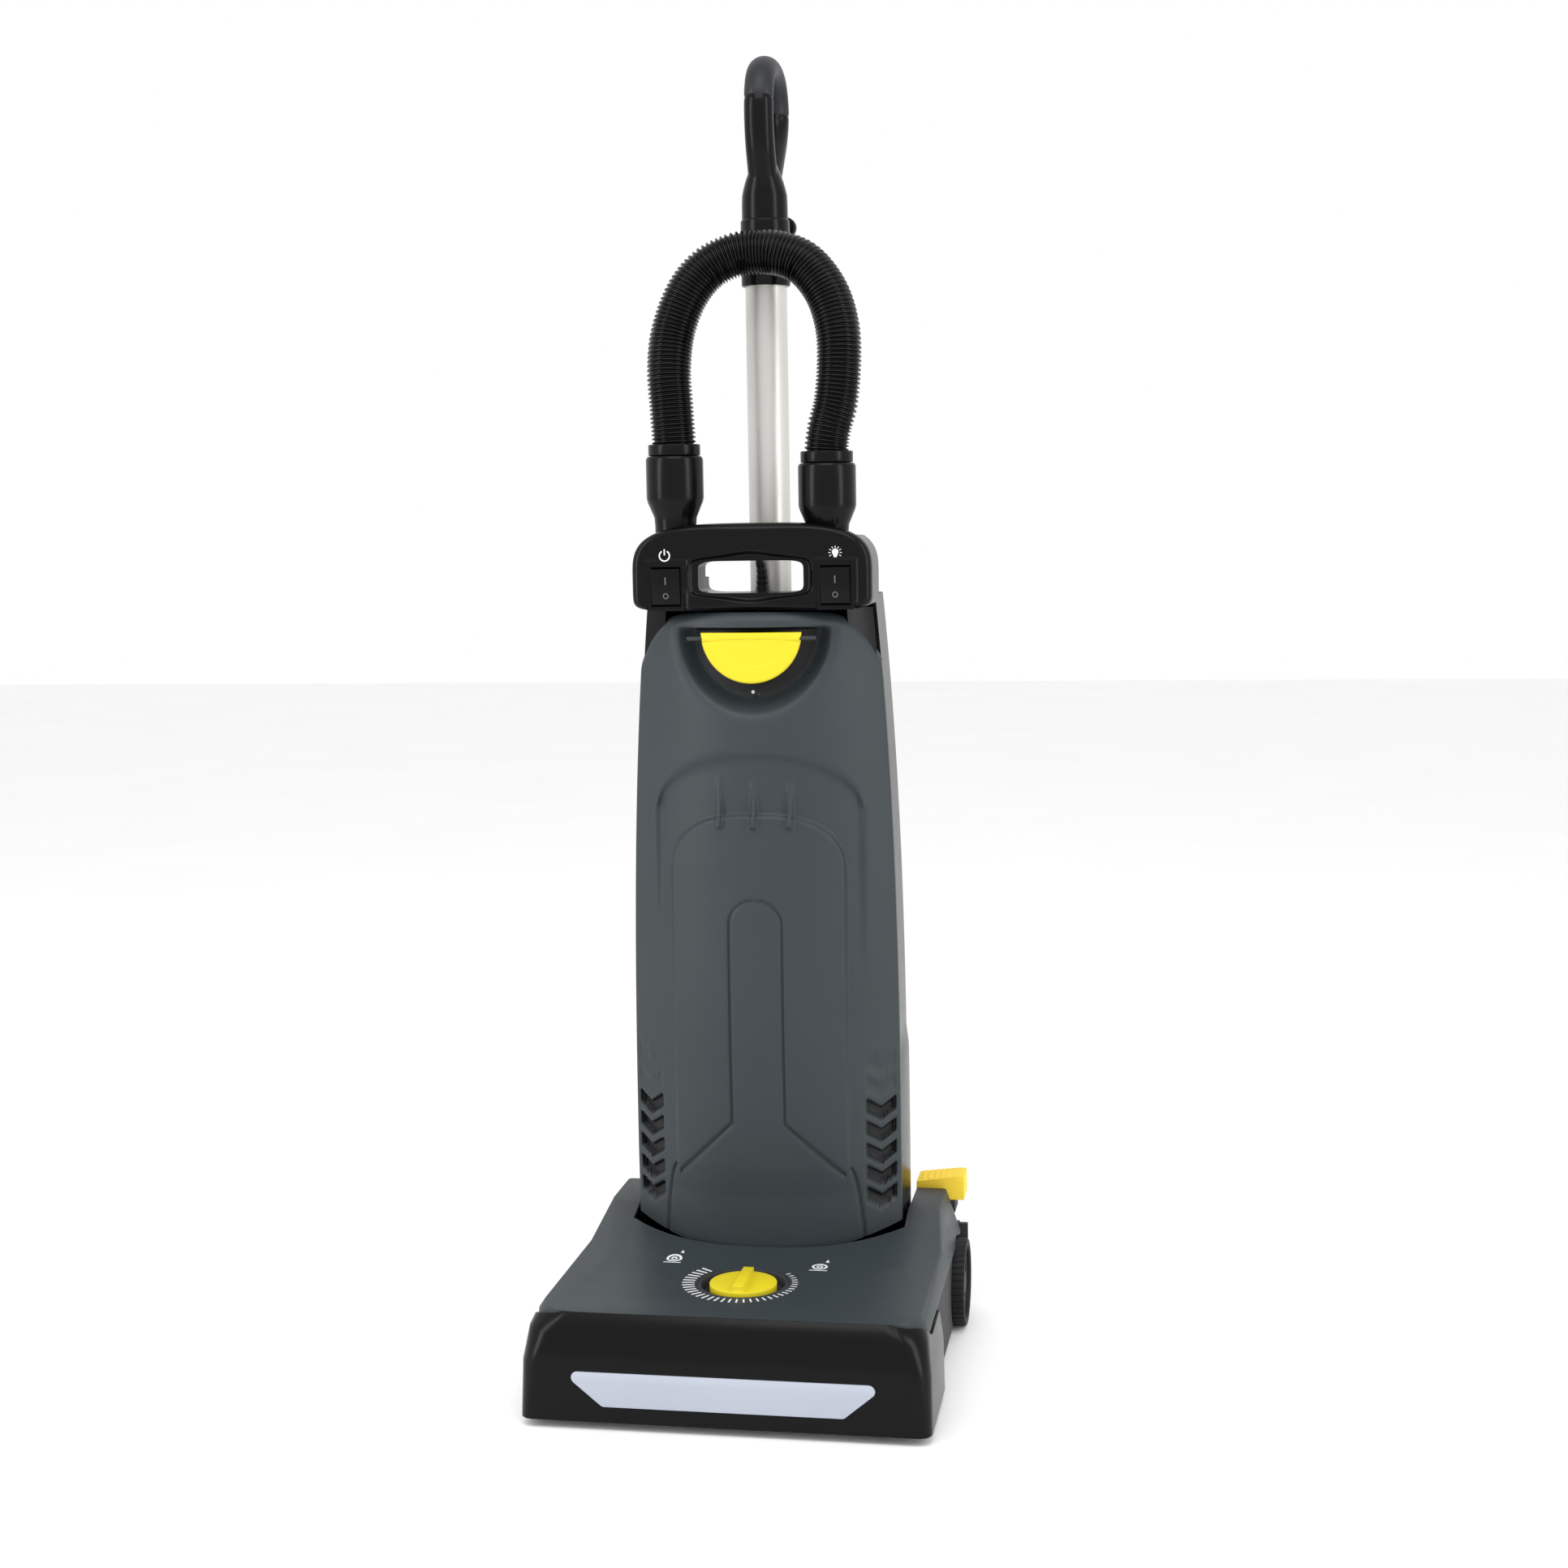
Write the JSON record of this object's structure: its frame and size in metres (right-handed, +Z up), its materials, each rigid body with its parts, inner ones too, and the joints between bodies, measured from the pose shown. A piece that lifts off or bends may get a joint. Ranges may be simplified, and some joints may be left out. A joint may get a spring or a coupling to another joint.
{
  "type": "upright vacuum cleaner",
  "caption": "Commercial upright vacuum cleaner: powered brush head with headlight, reclining body with bag chamber, carry handle, lift-off suction hose, loop grip and mains cord.",
  "frame": {"origin": "on the floor, midway between the front bumper and the rear cord hook and midway between the rear wheels", "axes": "+X to the right seen from the front, +Y to the back (the user's side), +Z up"},
  "size_m": [0.376, 0.4, 1.2401],
  "materials": {
    "grey_shell": "dark blue-grey moulded plastic with a fine spark-eroded grain",
    "black_shell": "black moulded plastic, satin to gloss",
    "black_matte": "black moulded plastic, fine matte texture",
    "yellow": "yellow moulded plastic, satin",
    "pedal_yellow": "warm yellow moulded plastic, ridged tread",
    "lens": "frosted clear plastic, lit from behind",
    "tube": "satin anodised, fine drawn lines",
    "steel": "zinc-plated steel",
    "rubber": "matt black rubber",
    "soft_grip": "soft-touch overmould, dull",
    "hose": "glossy black corrugated plastic",
    "cord": "black flexible PVC sheath",
    "bristle": "black nylon bristle tufts",
    "motor": "motor cans, zinc and laminations",
    "bag": "fleece filter bag",
    "filter": "pleated filter paper",
    "board": "circuit board with white LEDs",
    "bush": "acetal bearing plastic"
  },
  "bodies": {
    "head": {"head_base": "black_matte", "sole_plate": "steel", "head_cover": "grey_shell", "front_bumper": "black_shell", "light_lens": "lens", "led_board": "board", "knob_well": "black_shell", "brush_motor": "motor", "rear_axle": "steel", "trunnion_bushes": "bush", "front_axles": "steel", "pedal_pin": "steel", "pedal_spring": "steel", "head_screws": "steel"},
    "knob": {"height_knob": "yellow"},
    "rotor": {"motor_pulley": "steel"},
    "cradle": {"brush_cradle": "black_matte", "drive_belt": "rubber"},
    "brush": {"brush_core": "black_matte", "brush_bristles": "bristle"},
    "left_wheel": {"wheel_left": "black_matte", "tyre_left": "rubber"},
    "right_wheel": {"wheel_right": "black_matte", "tyre_right": "rubber"},
    "left_roller": {"roller_left": "black_matte"},
    "right_roller": {"roller_right": "black_matte"},
    "pedal": {"pedal_lever": "black_matte", "foot_pedal": "pedal_yellow"},
    "body": {"pivot_frame": "black_matte", "rear_housing": "black_shell", "top_panel": "black_shell", "power_bezel": "black_shell", "light_bezel": "black_shell", "suction_motor": "motor", "exhaust_filter": "filter", "dust_bag": "bag", "bag_collar": "bag", "hose_ports": "black_shell", "hose_rings": "black_shell", "suction_hose": "hose", "handle_tube": "tube", "handle_grip": "black_shell", "grip_pad": "soft_grip", "lower_hook": "black_shell", "cord_gland": "cord", "mains_cord": "cord", "cord_coil": "cord", "coil_tie": "cord", "mains_plug": "cord", "body_screws": "steel"},
    "door": {"front_cover": "grey_shell", "lower_panel": "grey_shell", "latch_pin": "steel"},
    "latch": {"door_latch": "yellow"},
    "power_switch": {"power_rocker": "black_matte"},
    "light_switch": {"light_rocker": "black_matte"},
    "fan": {"fan_rotor": "motor"},
    "left_cuff": {"cuff_left": "black_shell"},
    "right_cuff": {"cuff_right": "black_shell"},
    "hook": {"cord_hook": "black_shell"}
  },
  "joints": [
    {"name": "recline", "type": "hinge", "parent": "head", "child": "body", "pos_m": [0, 0.112, 0.043], "axis": [-1, 0, 0], "range_deg": [0, 80]},
    {"name": "knob_turn", "type": "hinge", "parent": "head", "child": "knob", "pos_m": [0, -0.09, 0.1], "axis": [0, 0, 1], "range_deg": [-90, 90]},
    {"name": "cradle_lift", "type": "hinge", "parent": "head", "child": "cradle", "pos_m": [0, 0.03, 0.043], "axis": [1, 0, 0], "range_deg": [-1.8, 1.8]},
    {"name": "rotor_spin", "type": "hinge", "parent": "head", "child": "rotor", "pos_m": [0.11, 0.03, 0.043], "axis": [1, 0, 0], "continuous": true},
    {"name": "brush_spin", "type": "hinge", "parent": "cradle", "child": "brush", "pos_m": [0, -0.122, 0.038], "axis": [1, 0, 0], "continuous": true},
    {"name": "left_wheel_spin", "type": "hinge", "parent": "head", "child": "left_wheel", "pos_m": [-0.176, 0.112, 0.043], "axis": [1, 0, 0], "continuous": true},
    {"name": "right_wheel_spin", "type": "hinge", "parent": "head", "child": "right_wheel", "pos_m": [0.176, 0.112, 0.043], "axis": [1, 0, 0], "continuous": true},
    {"name": "left_roller_spin", "type": "hinge", "parent": "head", "child": "left_roller", "pos_m": [-0.08, -0.064, 0.012], "axis": [1, 0, 0], "continuous": true},
    {"name": "right_roller_spin", "type": "hinge", "parent": "head", "child": "right_roller", "pos_m": [0.08, -0.064, 0.012], "axis": [1, 0, 0], "continuous": true},
    {"name": "pedal_press", "type": "hinge", "parent": "head", "child": "pedal", "pos_m": [0.147, 0.128, 0.1], "axis": [-1, 0, 0], "range_deg": [0, 12], "stiffness_Nm_per_rad": 4, "springref_deg": -17.19, "deforming": ["pedal_spring"]},
    {"name": "door_open", "type": "hinge", "parent": "body", "child": "door", "pos_m": [0, 0.006, 0.108], "axis": [1, 0, 0], "range_deg": [0, 45]},
    {"name": "latch_pull", "type": "hinge", "parent": "door", "child": "latch", "pos_m": [0, 0.006, 0.69], "axis": [-1, 0, 0], "range_deg": [0, 18], "stiffness_Nm_per_rad": 0.3, "springref_deg": -17.19},
    {"name": "power_toggle", "type": "hinge", "parent": "body", "child": "power_switch", "pos_m": [-0.08, 0.008, 0.7385], "axis": [-1, 0, 0], "range_deg": [0, 10]},
    {"name": "light_toggle", "type": "hinge", "parent": "body", "child": "light_switch", "pos_m": [0.08, 0.008, 0.7385], "axis": [-1, 0, 0], "range_deg": [0, 10]},
    {"name": "fan_spin", "type": "hinge", "parent": "body", "child": "fan", "pos_m": [0, 0.078, 0.215], "axis": [0, 0, 1], "continuous": true},
    {"name": "left_cuff_swivel", "type": "hinge", "parent": "body", "child": "left_cuff", "pos_m": [-0.076, 0.037, 0.8], "axis": [0, 0, 1], "continuous": true},
    {"name": "right_cuff_swivel", "type": "hinge", "parent": "body", "child": "right_cuff", "pos_m": [0.069, 0.037, 0.8], "axis": [0, 0, 1], "continuous": true},
    {"name": "hook_turn", "type": "hinge", "parent": "body", "child": "hook", "pos_m": [0, 0.15, 1.083], "axis": [0, 1, 0], "range_deg": [0, 180]}
  ],
  "couplings": [
    {"joint": "cradle_lift", "follows": "knob_turn", "ratio": 0.02},
    {"joint": "rotor_spin", "follows": "brush_spin", "ratio": 2}
  ]
}
